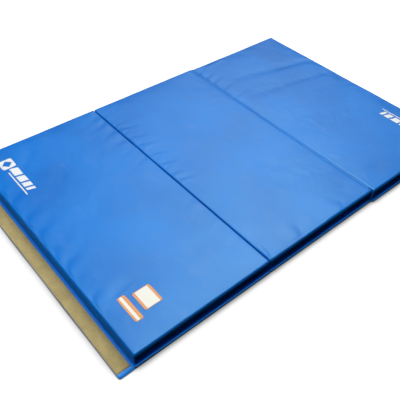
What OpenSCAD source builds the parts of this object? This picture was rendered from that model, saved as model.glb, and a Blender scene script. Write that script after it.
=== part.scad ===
// Folding crash landing mat: three foam-filled vinyl panels that fold like an accordion.
// Origin: centre of the middle panel's underside. +X runs along the mat, +Z is up.

/* [Panels] */
// Length of one panel along the mat
panel_l = 614; // [450:1:750]
// Width of the mat
panel_w = 1219; // [900:1:1500]
// Thickness of the mat
panel_h = 60; // [50:1:150]
// Gap between neighbouring panels at a seam
seam_gap = 4; // [3:0.5:8]
// Radius of each panel's corners, seen from above
corner_r = 8; // [5:1:20]
// How far the right panel is sewn out of line with the others
right_shift = -8; // [-10:1:10]

/* [Cover] */
// Thickness of the vinyl
vinyl_t = 1; // [0.8:0.1:1.5]
// Width of the sewn flange around the base
flange_w = 11; // [6:1:20]

/* [Foam] */
// Thickness of the firm top layer
firm_h = 20; // [10:1:25]
// Room between the foam and the side walls
foam_gap = 1; // [0.8:0.1:3]

/* [Folds] */
// Width of the hinge strip inside each panel
hinge_w = 40; // [25:1:60]
// Length that the hinge strip stops short of the panel's sides
hinge_end = 10; // [8:1:30]

/* [End flap] */
// Reach of the flap beyond the left wall
flap_l = 65; // [64:1:90]
// Width of the hook and loop strips
strip_w = 50.8; // [25:0.1:52]
// Thickness of the hook strip
hook_t = 1.6; // [1:0.1:2]
// Distance from a wall to the near edge of its strip
strip_inset = 12; // [8:1:12]
// Length that the strips stop short of the flap's ends
strip_end = 18.5; // [10:0.5:40]

/* [Zips] */
// Length of far wall left at each end of a zip
zip_end = 14; // [10:1:100]
// Height of the zip above the floor
zip_z = 30; // [29:1:32]
// Length of the pull tab
pull_l = 24; // [15:1:24]

/* [Prints] */
// Side of the square emblem
emblem = 62; // [40:1:70]
// Distance from the print's row of slanted blocks to the mat's end wall
print_inset = 105; // [90:1:130]

/* [Hidden] */
PANELS = ["left", "middle", "right"];
PER_PANEL = ["top_sheet", "boxing", "zip_wall", "bottom_sheet", "firm_foam", "soft_foam",
             "zip_tape", "zip_chain", "zip_slider", "zip_pull"];
SINGLES = ["bottom_hinge_left", "bottom_hinge_middle", "top_hinge_middle", "top_hinge_right",
           "end_flap", "hook_strip", "loop_strip", "print_left", "print_right",
           "square_label", "narrow_label"];

$fn = 48;
// clearance between pieces that move past each other
clear = 0.4;
// how far a cutting solid reaches past the face it cuts
past = 5;

// panels
pitch = panel_l + seam_gap;
half_l = panel_l / 2;
half_w = panel_w / 2;
bottom_seam_x = -pitch / 2;
top_seam_x = pitch / 2;
left_wall_x = -pitch - half_l;
right_wall_x = pitch + half_l;
wall_top = panel_h - vinyl_t;
hinge_l = panel_w - 2 * hinge_end;

// end flap: it turns about an axis in the middle of its own thickness, and stands
// against the left wall with this much room in front of the hook strip
flap_wall_gap = 1.4;
flap_t = 2 * vinyl_t;
flap_axis_x = left_wall_x - flap_t / 2 - hook_t - flap_wall_gap;
flap_root_w = left_wall_x - flap_axis_x - clear;
flap_start_x = flap_axis_x - flap_t / 2 - clear;
flap_end_x = left_wall_x - flap_l;
base_half_w = half_w + flange_w;
strip_l = 2 * (base_half_w - strip_end);
loop_t = 0.8;
flap_corner_r = 6;

// zips
chain_h = 6;
chain_proud = 0.8;
tape_h = 30;
tape_t = 0.6;
tape_end = 8;
zip_wall_l = panel_l - 2 * corner_r - 10;
zip_l = zip_wall_l - 2 * zip_end;
stop_l = 3;
stop_proud = 2;
slot_h = chain_h + 1;
slider_l = 12;
slider_h = 9;
slider_t = 3.4;
ear_t = 1.5;
ear_reach = 4;
pin_r = 0.8;
eye_r = 1.8;
pull_t = 1.2;
pin_y = half_w + chain_proud + clear + slider_t + clear + eye_r;
slider_x = zip_l / 2 - stop_l - clear - slider_l / 2;

// prints and labels
print_t = 0.3;
block_w = 36;
block_gap = 10;
BLOCK_LENGTHS = [52, 40, 28, 16];
block_slant = 9;
underline = [6, 168];
square_label_size = [74, 86];
square_label_at = [168, 157.5];
narrow_label_size = [33, 119];
narrow_label_at = [94.5, 155.5];

// x of a panel's centre, by its place in PANELS
function panel_x(i) = (i - 1) * pitch;
function panel_y(i) = i == 2 ? right_shift : 0;
// length of the blocks before block k in the print's row
function row_before(k) = k == 0 ? 0 : row_before(k - 1) + BLOCK_LENGTHS[k - 1] + block_gap;

// a box given by its two opposite corners
module box(low, high) {
  translate(low) cube(high - low);
}

module rounded_rect(l, w, r) {
  square([l - 2 * r, w], center = true);
  square([l, w - 2 * r], center = true);
  for (x = [-1, 1], y = [-1, 1])
    translate([x * (l / 2 - r), y * (w / 2 - r)]) circle(r);
}

// plan of the cover's outer face, or of its inner face
module panel_outline(inset = 0) {
  rounded_rect(panel_l - 2 * inset, panel_w - 2 * inset, corner_r - inset);
}

// plan of the bottom sheet: the flange stands out on every side that isn't a fold
module base_outline(i) {
  x0 = -half_l - (i == 0 ? flap_root_w : 0);
  x1 = half_l + (i == 2 ? flange_w : 0);
  translate([x0, -base_half_w]) square([x1 - x0, 2 * base_half_w]);
}

// room for the hinge strips, drawn in the frame of panel i
module hinge_room(i) {
  reach = hinge_w + seam_gap;
  if (i < 2) {
    x = (i == 0 ? 1 : -1) * half_l;
    box([x - reach, -hinge_l / 2, vinyl_t], [x + reach, hinge_l / 2, 2 * vinyl_t]);
  }
  if (i > 0) {
    x = (i == 1 ? 1 : -1) * half_l;
    box([x - reach, -hinge_l / 2, wall_top - vinyl_t], [x + reach, hinge_l / 2, wall_top]);
  }
}

// side walls and the upper ply of the flange, all round the panel
module side_band(i) {
  translate([0, 0, vinyl_t]) linear_extrude(wall_top - vinyl_t) difference() {
    panel_outline();
    panel_outline(vinyl_t);
  }
  translate([0, 0, vinyl_t]) linear_extrude(vinyl_t) difference() {
    base_outline(i);
    panel_outline(vinyl_t);
  }
}

// the stretch of the far wall that the zip is sewn into
module zip_stretch() {
  box([-zip_wall_l / 2, half_w - corner_r, 0], [zip_wall_l / 2, base_half_w + past, panel_h]);
}

// ---- cover

module top_sheet(i) {
  color("royalblue") translate([0, 0, wall_top]) linear_extrude(vinyl_t) panel_outline();
}

module boxing(i) {
  color("mediumblue") difference() {
    side_band(i);
    zip_stretch();
    hinge_room(i);
  }
}

module zip_wall(i) {
  color("mediumblue") difference() {
    intersection() {
      side_band(i);
      zip_stretch();
    }
    box([-zip_l / 2 - 1, half_w - past, zip_z - slot_h / 2],
        [zip_l / 2 + 1, half_w + past, zip_z + slot_h / 2]);
  }
}

module bottom_sheet(i) {
  color("navy") difference() {
    linear_extrude(vinyl_t) base_outline(i);
    if (i == 2) translate([-pitch, 0, 0]) loop_room();
  }
}

// ---- foam

module foam_layer(z0, z1) {
  inset = vinyl_t + foam_gap;
  translate([0, 0, z0]) linear_extrude(z1 - z0) panel_outline(inset);
}

module firm_foam(i) {
  color("white") difference() {
    foam_layer(wall_top - firm_h, wall_top);
    hinge_room(i);
  }
}

module soft_foam(i) {
  color("gold") difference() {
    foam_layer(vinyl_t, wall_top - firm_h);
    hinge_room(i);
  }
}

// ---- hinge strips: each fold has one leaf on either side of its axis

// leaf on the left (side = -1) or right (side = 1) of the fold at x
module hinge_leaf(x, side, z) {
  near_x = x + side * clear;
  far_x = x + side * (seam_gap / 2 + hinge_w);
  color("midnightblue")
    box([min(near_x, far_x), -hinge_l / 2, z], [max(near_x, far_x), hinge_l / 2, z + vinyl_t]);
}

module bottom_hinge_left() {
  hinge_leaf(bottom_seam_x, -1, vinyl_t);
}

module bottom_hinge_middle() {
  hinge_leaf(bottom_seam_x, 1, vinyl_t);
}

module top_hinge_middle() {
  hinge_leaf(top_seam_x, -1, wall_top - vinyl_t);
}

module top_hinge_right() {
  translate([0, right_shift, 0]) hinge_leaf(top_seam_x, 1, wall_top - vinyl_t);
}

// ---- end flap with the hook strip, and the loop strip that its neighbour's flap grips

module end_flap() {
  color("royalblue") linear_extrude(flap_t) difference() {
    box_2d([flap_end_x, -base_half_w], [flap_start_x, base_half_w]);
    for (y = [-1, 1]) outer_corner_cut(y);
  }
}

module box_2d(low, high) {
  translate(low) square(high - low);
}

// what is cut away to round one of the flap's outer corners
module outer_corner_cut(side) {
  centre = [flap_end_x + flap_corner_r, side * (base_half_w - flap_corner_r)];
  difference() {
    translate(centre) mirror([0, side < 0 ? 1 : 0])
      box_2d([-flap_corner_r - 1, 0], [0, flap_corner_r + 1]);
    translate(centre) circle(flap_corner_r);
  }
}

module hook_strip() {
  x1 = left_wall_x - strip_inset;
  color("tan") box([x1 - strip_w, -strip_l / 2, flap_t], [x1, strip_l / 2, flap_t + hook_t]);
}

// the shallow pocket for the loop strip, in the frame of the mat
module loop_room() {
  x1 = right_wall_x - strip_inset;
  box([x1 - strip_w, -strip_l / 2, -past], [x1, strip_l / 2, loop_t]);
}

module loop_strip() {
  x1 = right_wall_x - strip_inset;
  color("tan") translate([0, right_shift, 0])
    box([x1 - strip_w, -strip_l / 2, 0], [x1, strip_l / 2, loop_t]);
}

// ---- zips in the far walls

module zip_tape(i) {
  y1 = half_w - vinyl_t;
  x1 = zip_l / 2 + tape_end;
  color("dimgray") box([-x1, y1 - tape_t, zip_z - tape_h / 2], [x1, y1, zip_z + tape_h / 2]);
}

// the rows of teeth, closed, with a stop at each end
module zip_chain(i) {
  y0 = half_w - vinyl_t;
  color("black") {
    box([-zip_l / 2, y0, zip_z - chain_h / 2], [zip_l / 2, half_w + chain_proud, zip_z + chain_h / 2]);
    for (side = [-1, 1])
      translate([side * (zip_l - stop_l) / 2, 0, zip_z])
        box([-stop_l / 2, y0, -chain_h / 2], [stop_l / 2, half_w + stop_proud, chain_h / 2]);
  }
}

// slider: a channel over the chain, with two ears that hold the pull tab's pin
module zip_slider(i) {
  y0 = half_w + clear;
  y1 = half_w + chain_proud + clear + slider_t;
  y2 = pin_y + pin_r + 0.7;
  color("silver") translate([slider_x, 0, zip_z]) {
    difference() {
      box([-slider_l / 2, y0, -slider_h / 2], [slider_l / 2, y1, slider_h / 2]);
      box([-slider_l, y0 - past, -chain_h / 2 - clear],
          [slider_l, half_w + chain_proud + clear, chain_h / 2 + clear]);
    }
    for (side = [-1, 1])
      translate([side * ear_reach, 0, 0])
        box([-ear_t / 2, y1 - 0.5, -slider_h / 4], [ear_t / 2, y2, slider_h / 4]);
    translate([-ear_reach, pin_y, 0]) rotate([0, 90, 0]) cylinder(h = 2 * ear_reach, r = pin_r);
  }
}

// pull tab, hanging from its eye on the slider's pin
module zip_pull(i) {
  eye_w = 2 * ear_reach - ear_t - 2 * clear;
  color("silver") translate([slider_x, pin_y, zip_z]) difference() {
    union() {
      translate([-eye_w / 2, 0, 0]) rotate([0, 90, 0]) cylinder(h = eye_w, r = eye_r);
      box([-eye_w / 2, -pull_t / 2, -pull_l], [eye_w / 2, pull_t / 2, -eye_r / 2]);
    }
    translate([-eye_w, 0, 0]) rotate([0, 90, 0]) cylinder(h = 2 * eye_w, r = pin_r + 0.1);
  }
}

// ---- prints and labels on the landing face

// square emblem with a diamond window, a row of slanted blocks and a thin underline
module print_mark() {
  row_y = half_w - 158;
  color("white") linear_extrude(print_t) {
    translate([print_inset + 8, half_w - 122]) difference() {
      rounded_rect(emblem, emblem, emblem / 6);
      rotate(45) square(emblem / 2, center = true);
    }
    for (k = [0:len(BLOCK_LENGTHS) - 1])
      translate([print_inset, row_y - row_before(k) - BLOCK_LENGTHS[k]])
        polygon([[0, 0], [block_w, -block_slant], [block_w, BLOCK_LENGTHS[k] - block_slant],
                 [0, BLOCK_LENGTHS[k]]]);
    translate([print_inset - 14, row_y - 20 - underline[1]]) square(underline);
  }
}

module print_left() {
  translate([left_wall_x, 0, panel_h]) print_mark();
}

module print_right() {
  translate([right_wall_x, right_shift, panel_h]) rotate(180) print_mark();
}

// a blank label, given from the left wall and the near wall
module label(at, size) {
  color("whitesmoke") translate([left_wall_x + at[0], at[1] - half_w, panel_h])
    linear_extrude(print_t) rounded_rect(size[0], size[1], 4);
}

module square_label() {
  label(square_label_at, square_label_size);
}

module narrow_label() {
  label(narrow_label_at, narrow_label_size);
}

// ---- assembly

for (i = [0:2]) translate([panel_x(i), panel_y(i), 0]) {
  top_sheet(i);
  boxing(i);
  zip_wall(i);
  bottom_sheet(i);
  firm_foam(i);
  soft_foam(i);
  zip_tape(i);
  zip_chain(i);
  zip_slider(i);
  zip_pull(i);
}
bottom_hinge_left();
bottom_hinge_middle();
top_hinge_middle();
top_hinge_right();
end_flap();
hook_strip();
loop_strip();
print_left();
print_right();
square_label();
narrow_label();
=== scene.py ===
"""Looks of the folding crash landing mat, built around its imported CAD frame.

Metres, in the row frame: +X runs along the mat from its flap, +Y towards the zips, +Z up.
"""

import math

import bmesh
import bpy
import numpy as np
from mathutils import Matrix, Vector
from mathutils.bvhtree import BVHTree


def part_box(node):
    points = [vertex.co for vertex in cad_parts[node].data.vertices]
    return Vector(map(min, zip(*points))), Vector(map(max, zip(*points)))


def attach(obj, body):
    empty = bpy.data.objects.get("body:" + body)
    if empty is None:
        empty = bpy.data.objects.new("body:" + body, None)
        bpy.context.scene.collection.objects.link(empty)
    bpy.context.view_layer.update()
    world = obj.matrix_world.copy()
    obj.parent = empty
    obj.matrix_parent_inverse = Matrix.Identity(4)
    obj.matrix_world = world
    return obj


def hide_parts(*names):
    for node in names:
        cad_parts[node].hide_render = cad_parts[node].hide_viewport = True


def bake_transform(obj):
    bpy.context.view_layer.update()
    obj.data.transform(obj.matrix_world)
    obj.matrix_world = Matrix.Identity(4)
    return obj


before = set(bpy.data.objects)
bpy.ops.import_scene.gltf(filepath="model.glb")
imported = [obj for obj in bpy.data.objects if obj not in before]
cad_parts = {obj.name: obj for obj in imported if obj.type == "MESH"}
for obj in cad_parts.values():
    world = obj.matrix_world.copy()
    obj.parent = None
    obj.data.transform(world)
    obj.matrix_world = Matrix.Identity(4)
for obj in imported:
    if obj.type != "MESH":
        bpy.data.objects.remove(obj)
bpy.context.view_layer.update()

MM = 0.001
PANELS = ("left", "middle", "right")

# the cover: radii of its rounded top edges, how much deeper than wide they are, the top sheet's level, the hem
# where it meets the walls, the cloth's grid, and the radius of the walls' upright corners
EDGE_R = 9 * MM
LOW_SEAM_R = 5 * MM
HIGH_SEAM_R = 2 * MM
EDGE_DROP = 1.7
TOP_Z = 58.2 * MM
HEM_Z = 41.5 * MM
CLOTH_STEP = 11 * MM
VINYL_T = 0.9 * MM
CORNER_R = 8 * MM
# the share of an edge's radius that is steep enough for the walls' duller material
STEEP_SHARE = 0.17

# the foam layers' levels and the radii of their edges
FIRM_Z = (39.3 * MM, 55.3 * MM)
FIRM_R = 4.7 * MM
SOFT_Z = (2.4 * MM, 38.9 * MM)
SOFT_R = 4 * MM

# the hinge strips' levels
TOP_HINGE_Z = 55.75 * MM
BOTTOM_HINGE_Z = 1.35 * MM

# the flange round the base: its two plies, with the flap's root between them
FLANGE_TOP = 2.0 * MM
PLY_T = 0.8 * MM
FLANGE_LIFT = 1.6 * MM

# where the top fold's and the bottom fold's gaps are
LOW_SEAM = (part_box("top_sheet_left")[1].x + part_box("top_sheet_middle")[0].x) / 2
HIGH_SEAM = (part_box("top_sheet_middle")[1].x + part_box("top_sheet_right")[0].x) / 2
SEAM_HALF = (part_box("top_sheet_middle")[0].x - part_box("top_sheet_left")[1].x) / 2


# ---- meshes


def link_piece(name, mesh, material):
    """A new object that shows a mesh in one material, smoothly shaded."""
    mesh.polygons.foreach_set("use_smooth", [True] * len(mesh.polygons))
    mesh.materials.append(material)
    piece = bpy.data.objects.new(name, mesh)
    bpy.context.scene.collection.objects.link(piece)
    return piece


def new_piece(name, points, faces, material):
    mesh = bpy.data.meshes.new(name)
    mesh.from_pydata(np.asarray(points).tolist(), [], [list(map(int, f)) for f in faces])
    mesh.validate()
    return link_piece(name, mesh, material)


def from_bmesh(name, made, material):
    mesh = bpy.data.meshes.new(name)
    made.to_mesh(mesh)
    made.free()
    return link_piece(name, mesh, material)


def grid_faces(rows, cols, flip=False):
    """Quads of a grid of points. They face the third way of (along the rows, along the columns)."""
    index = np.arange(rows * cols).reshape(rows, cols)
    a, b, c, d = index[:-1, :-1], index[1:, :-1], index[1:, 1:], index[:-1, 1:]
    order = (a, d, c, b) if flip else (a, b, c, d)
    return np.stack(order, -1).reshape(-1, 4)


def grid_piece(name, points, material, flip=False):
    """A sheet through a grid of points."""
    return new_piece(name, points.reshape(-1, 3), grid_faces(*points.shape[:2], flip), material)


def two_sided(name, upper, lower, material, sides=()):
    """A solid between two grids of points, with more faces where its sides need them."""
    rows, cols = upper.shape[:2]
    faces = [*grid_faces(rows, cols), *(grid_faces(rows, cols, flip=True) + rows * cols), *sides]
    return new_piece(name, np.concatenate([upper.reshape(-1, 3), lower.reshape(-1, 3)]), faces, material)


def get_points(piece):
    return np.array([v.co for v in piece.data.vertices])


def set_points(piece, points):
    piece.data.vertices.foreach_set("co", points.ravel().astype(np.float32))
    piece.data.update()


def bake_modifiers(piece):
    """Makes the mesh what its modifiers show, and removes them."""
    graph = bpy.context.evaluated_depsgraph_get()
    mesh = bpy.data.meshes.new_from_object(piece.evaluated_get(graph))
    piece.modifiers.clear()
    piece.data = mesh


def thicken(piece, thickness):
    """Makes a sheet solid, inwards from its face."""
    solid = piece.modifiers.new("thickness", "SOLIDIFY")
    solid.thickness = thickness
    solid.offset = -1
    bake_modifiers(piece)


def slab(name, xs, ys, top, bottom, material, shape=None):
    """A closed sheet over the grid lines xs and ys; top and bottom give z at (x, y), shape moves (x, y)."""
    x, y = np.meshgrid(xs, ys, indexing="ij")
    px, py = shape(x, y) if shape else (x, y)
    upper = np.stack([px, py, top(px, py) + 0 * px], -1)
    lower = np.stack([px, py, bottom(px, py) + 0 * px], -1)
    index = np.arange(x.size).reshape(x.shape)
    rim = np.concatenate([index[:-1, 0], index[-1, :-1], index[:0:-1, -1], index[0, :0:-1]])
    after = np.roll(rim, -1)
    sides = np.stack([rim, rim + x.size, after + x.size, after], -1)
    return two_sided(name, upper, lower, material, sides)


def spaced(low, high, step, *extra):
    """Grid lines from low to high, about step apart, with a line at each extra place."""
    lines = np.linspace(low, high, max(2, round((high - low) / step) + 1))
    keep = [v for v in lines if all(abs(v - e) > 0.3 * step for e in extra) or v in (low, high)]
    return np.array(sorted({*keep, *extra}))


def place(piece, body, replaced=()):
    """Puts a piece on a body, and hides the CAD nodes that it stands for."""
    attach(piece, body)
    finish_piece(replaced)


def finish_piece(replaced=()):
    """Hides the CAD nodes that a piece stands for."""
    if replaced:
        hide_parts(*replaced)


# ---- relief: the soft folds and gathers of the vinyl


def random_field(x, y, wavelength, seed, count=14):
    """A smooth random surface of about unit height, with bumps about a wavelength apart."""
    rng = np.random.default_rng(seed)
    total = np.zeros_like(x)
    for _ in range(count):
        turn = rng.uniform(0, 2 * math.pi)
        k = 2 * math.pi / (wavelength * rng.uniform(0.7, 1.6))
        total += np.sin(k * (x * math.cos(turn) + y * math.sin(turn)) + rng.uniform(0, 2 * math.pi))
    return total * math.sqrt(2 / count) / 1.6


def ease(t):
    t = np.clip(t, 0, 1)
    return t * t * (3 - 2 * t)


def fold_line(x, y, points, width, height, lead=0.12, tail=0.6):
    """A soft fold along a line: a ridge with a shallow valley on its right, fading out at both ends."""
    best = np.full(x.shape, 9.0)
    side = np.zeros_like(x)
    along = np.zeros_like(x)
    spans = [math.dist(a, b) for a, b in zip(points[:-1], points[1:])]
    run = 0.0
    for (ax, ay), (bx, by), span in zip(points[:-1], points[1:], spans):
        dx, dy = (bx - ax) / span, (by - ay) / span
        t = np.clip(((x - ax) * dx + (y - ay) * dy) / span, 0, 1)
        ox, oy = x - ax - t * dx * span, y - ay - t * dy * span
        away = np.hypot(ox, oy)
        near = away < best
        best = np.where(near, away, best)
        side = np.where(near, np.sign(ox * dy - oy * dx), side)
        along = np.where(near, (run + t * span) / sum(spans), along)
        run += span
    q = side * best / width
    fade = ease(along / lead) * ease((1 - along) / tail)
    return height * fade * (np.exp(-q * q) - 0.7 * np.exp(-((q - 1.7) ** 2)))


def gathers(away, y, places, reach, width, height, drift):
    """Short ripples that start at a seam, away metres from it, and drift along it as they fade."""
    total = np.zeros_like(y)
    for place_y in places:
        q = (y - place_y - drift * away) / width
        total += np.exp(-q * q) - 0.6 * np.exp(-((q - 1.6) ** 2))
    return height * total * ease(away / (10 * MM)) * np.exp(-((away / reach) ** 2))


def creases(x, y, wavelength, seed):
    """A net of soft creases that comes and goes: ridges along the level lines of a random surface."""
    field = random_field(x, y, wavelength, seed)
    mask = ease(0.5 + 0.8 * random_field(x, y, 3 * wavelength, seed + 1))
    return mask * np.exp(-((field / 0.24) ** 2))


def welt(away, height, half_width):
    """The ridge that a seam's inner fold makes along it, away metres from the ridge's crown."""
    return height * np.exp(-((away / half_width) ** 2))


def within_room(dz, rise=2.2 * MM, dip=1.1 * MM):
    """Softly limits the relief, so that folded panels don't touch and the sheet stays over the foam."""
    room = np.where(dz > 0, rise, dip)
    return room * np.tanh(dz / room)


def relief_left(x, y, low, high):
    away = x - low.x - EDGE_R
    dz = gathers(away, y, (0.33, 0.22, 0.1, 0.0, -0.12, -0.2, -0.38), 0.09, 0.026, 1.7 * MM, 0.45)
    away = high.x - LOW_SEAM_R - x
    dz += gathers(away, y, (0.52, 0.46, 0.38, 0.3, 0.13, -0.2), 0.06, 0.018, 1.2 * MM, -0.3)
    dz += fold_line(x, y, ((-0.9, 0.36), (-0.78, 0.5), (-0.7, 0.6)), 0.03, 1.7 * MM, 0.2, 0.3)
    dz += fold_line(x, y, ((-0.87, 0.2), (-0.74, 0.3), (-0.6, 0.45)), 0.035, 1.4 * MM, 0.2, 0.5)
    dz += fold_line(x, y, ((-0.9, -0.3), (-0.76, -0.32), (-0.6, -0.4)), 0.03, 1.2 * MM, 0.2, 0.5)
    dz += fold_line(x, y, ((-0.62, -0.36), (-0.5, -0.33), (-0.35, -0.34)), 0.03, 1.2 * MM, 0.3, 0.4)
    return dz


def relief_middle(x, y, low, high):
    away = x - low.x - LOW_SEAM_R
    dz = gathers(away, y, (0.385, 0.3, 0.235, 0.15, 0.07, -0.01, -0.06), 0.08, 0.012, 1.2 * MM, -0.35)
    dz += gathers(away, y, (0.42, 0.345, 0.27, 0.205, 0.11, 0.03), 0.045, 0.008, 0.9 * MM, 0.15)
    dz += fold_line(x, y, ((-0.303, -0.6), (-0.29, -0.545), (-0.28, -0.5)), 0.008, 1.5 * MM)
    dz += fold_line(x, y, ((-0.15, -0.6), (-0.14, -0.55), (-0.12, -0.48)), 0.022, 1.6 * MM, 0.1)
    dz += fold_line(x, y, ((0.12, -0.6), (0.1, -0.56), (0.08, -0.5)), 0.02, 1.4 * MM, 0.1)
    dz += welt(away - 1.5 * MM, 0.5 * MM, 3 * MM)
    dz -= welt(high.x - HIGH_SEAM_R - x, 1.5 * MM, 6 * MM)
    return dz


def relief_right(x, y, low, high):
    away = x - low.x - HIGH_SEAM_R
    upper_fold = ((0.915, 0.22), (0.8, 0.245), (0.67, 0.275), (0.55, 0.305), (0.4, 0.35))
    lower_fold = ((0.906, 0.075), (0.795, 0.098), (0.73, 0.11), (0.55, 0.14), (0.44, 0.165), (0.32, 0.187))
    dz = fold_line(x, y, upper_fold, 0.034, 3.4 * MM)
    dz += fold_line(x, y, lower_fold, 0.032, 3.4 * MM)
    dz += fold_line(x, y, ((0.53, 0.58), (0.45, 0.573), (0.37, 0.567)), 0.013, 2.0 * MM, tail=0.3)
    dz += gathers(away, y, (0.53, 0.47, 0.41, 0.33, 0.24), 0.07, 0.012, 1.1 * MM, 0.25)
    dz += gathers(high.x - EDGE_R - x, y, (0.42, 0.31, -0.05, -0.2, -0.36), 0.05, 0.016, 1.4 * MM, 0.3)
    dz -= welt(away, 1.5 * MM, 5 * MM)
    dz += welt(x - low.x - 13 * MM, 0.4 * MM, 5 * MM)
    return dz


RELIEF = {"left": relief_left, "middle": relief_middle, "right": relief_right}


def broad_relief(panel, x, y, low, high):
    """Height of the landing face's broad waves over its level, before the cloth simulation."""
    across = (2 * x - low.x - high.x) / (high.x - low.x)
    along = (2 * y - low.y - high.y) / (high.y - low.y)
    crown = 0.5 * MM * (1 - across**4) * (1 - along**4)
    seed = PANELS.index(panel)
    return crown + 0.8 * MM * random_field(x, y, 0.3, seed) + 0.3 * MM * random_field(x, y, 0.1, seed + 10)


def fine_relief(panel, x, y, low, high):
    """Height of the folds, gathers and creases on top of that."""
    seed = PANELS.index(panel)
    inside = np.minimum(np.minimum(x - low.x, high.x - x), np.minimum(y - low.y, high.y - y))
    crumple = 0.5 * MM * creases(x, y, 0.16, seed + 20) + 0.13 * MM * random_field(x, y, 0.045, seed + 30)
    return crumple * ease(inside / (14 * MM)) + RELIEF[panel](x, y, low, high) * ease(inside / (4 * MM))


# ---- the top sheets


def edge_radii(panel):
    """Radii of a top sheet's edges: low x, high x, low y, high y."""
    low_x = {"left": EDGE_R, "middle": LOW_SEAM_R, "right": HIGH_SEAM_R}[panel]
    high_x = {"left": LOW_SEAM_R, "middle": HIGH_SEAM_R, "right": EDGE_R}[panel]
    return low_x, high_x, EDGE_R, EDGE_R


def grid_lines(low, high, r_low, r_high, step):
    """Lines across a sheet that turns down over both edges: a place on its flat, and a turn.

    The turn is 0 on the flat, 1 where the rounded edge ends and 2 at the hem; at the low edge it is negative.
    """
    close = np.array([0, 1.5, 3, 5, 8]) * MM
    first, last = low + r_low + 12 * MM, high - r_high - 12 * MM
    between = np.linspace(first, last, round((last - first) / step))
    flat = np.concatenate([low + r_low + close, between, high - r_high - close[::-1]])
    turns = np.array([0.2, 0.4, 0.6, 0.8, 1.0, 1.5, 2.0])
    place_at = np.concatenate([np.full(len(turns), flat[0]), flat, np.full(len(turns), flat[-1])])
    turn = np.concatenate([-turns[::-1], np.zeros(len(flat)), turns])
    return place_at, turn


def shell_points(low, high, radii, top, hem, step):
    """Points of a sheet laid over a block and turned down round it, and how far each has turned."""
    cx, ex = grid_lines(low.x, high.x, radii[0], radii[1], step)
    cy, ey = grid_lines(low.y, high.y, radii[2], radii[3], step)
    cx, cy = np.meshgrid(cx, cy, indexing="ij")
    ex, ey = np.meshgrid(ex, ey, indexing="ij")
    turn = np.maximum(abs(ex), abs(ey))
    norm = np.where(turn == 0, 1, np.hypot(ex, ey))
    dx, dy = ex / norm, ey / norm
    rx = np.where(ex < 0, radii[0], radii[1])
    ry = np.where(ey < 0, radii[2], radii[3])
    angle = np.minimum(turn, 1) * math.pi / 2
    edge = top - EDGE_DROP * (rx * dx**2 + ry * dy**2) * (1 - np.cos(angle))
    z = edge - np.maximum(turn - 1, 0) * (edge - hem)
    return np.stack([cx + rx * np.sin(angle) * dx, cy + ry * np.sin(angle) * dy, z], -1), turn


def settle_cloth(piece, turn, cut, frames=24, most=1.6 * MM):
    """Cloth simulation of a top sheet that was cut a little too full: it buckles into soft wrinkles.

    The sheet's edges and skirt are held, and no point moves further than most.
    """
    start = get_points(piece)
    piece.shape_key_add(name="start")
    key = piece.shape_key_add(name="cut")
    key.data.foreach_set("co", cut.reshape(-1).astype(np.float32))
    held = piece.vertex_groups.new(name="held")
    held.add(np.flatnonzero(turn > 0).tolist(), 1.0, "REPLACE")
    cloth = piece.modifiers.new("cloth", "CLOTH")
    settings = cloth.settings
    settings.quality = 6
    settings.mass = 0.3
    settings.tension_stiffness = settings.compression_stiffness = 40
    settings.shear_stiffness = 20
    settings.bending_stiffness = 0.6
    settings.air_damping = 4
    settings.vertex_group_mass = held.name
    settings.rest_shape_key = key
    settings.use_pressure = True
    settings.uniform_pressure_force = 0.15
    settings.effector_weights.gravity = 0
    cloth.collision_settings.use_collision = False
    scene = bpy.context.scene
    for number in range(1, frames + 1):
        scene.frame_set(number)
    settled = get_points(piece.evaluated_get(bpy.context.evaluated_depsgraph_get()))
    scene.frame_set(1)
    piece.modifiers.clear()
    piece.shape_key_clear()
    piece.vertex_groups.clear()
    moved = settled - start
    size = np.linalg.norm(moved, axis=1)[:, None]
    set_points(piece, start + moved * (most * np.tanh(size / most) / (size + 1e-9)))


def cut_fuller(points, panel, low, high):
    """The shape that the sheet was cut to: a little too wide where a seam gathers it."""
    x, y = points[..., 0], points[..., 1]
    fullness = {
        "left": 0.006 * np.exp(-(x - low.x) / 0.06),
        "middle": 0.008 * np.exp(-(x - low.x) / 0.09),
        "right": 0.006 * np.exp(-(x - low.x) / 0.06) + 0.004 * np.exp(-(high.x - x) / 0.06),
    }[panel]
    cut = points.copy()
    cut[..., 1] = y * (1.0015 + fullness)
    return cut


def add_fine_relief(piece, panel, low, high):
    """Subdivides a top sheet, adds the fine relief, and keeps its flat part within the room there is."""
    finer = piece.modifiers.new("finer", "SUBSURF")
    finer.levels = finer.render_levels = 1
    bake_modifiers(piece)
    points = get_points(piece)
    x, y, z = points.T
    room = ease((z - TOP_Z + 3 * MM) / (2 * MM))
    raised = TOP_Z + within_room(z + fine_relief(panel, x, y, low, high) - TOP_Z)
    points[:, 2] = z + (raised - z) * room
    set_points(piece, points)


def mark_skirt(piece, low, high, radii, material):
    """Gives the steep part of a sheet's rounded edges, and the skirt below it, its own duller material."""
    piece.data.materials.append(material)
    for face in piece.data.polygons:
        x, y = face.center.x, face.center.y
        insets = (x - low.x, high.x - x, y - low.y, high.y - y)
        nearest = min(inset / radius for inset, radius in zip(insets, radii))
        face.material_index = int(nearest < STEEP_SHARE)


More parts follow.
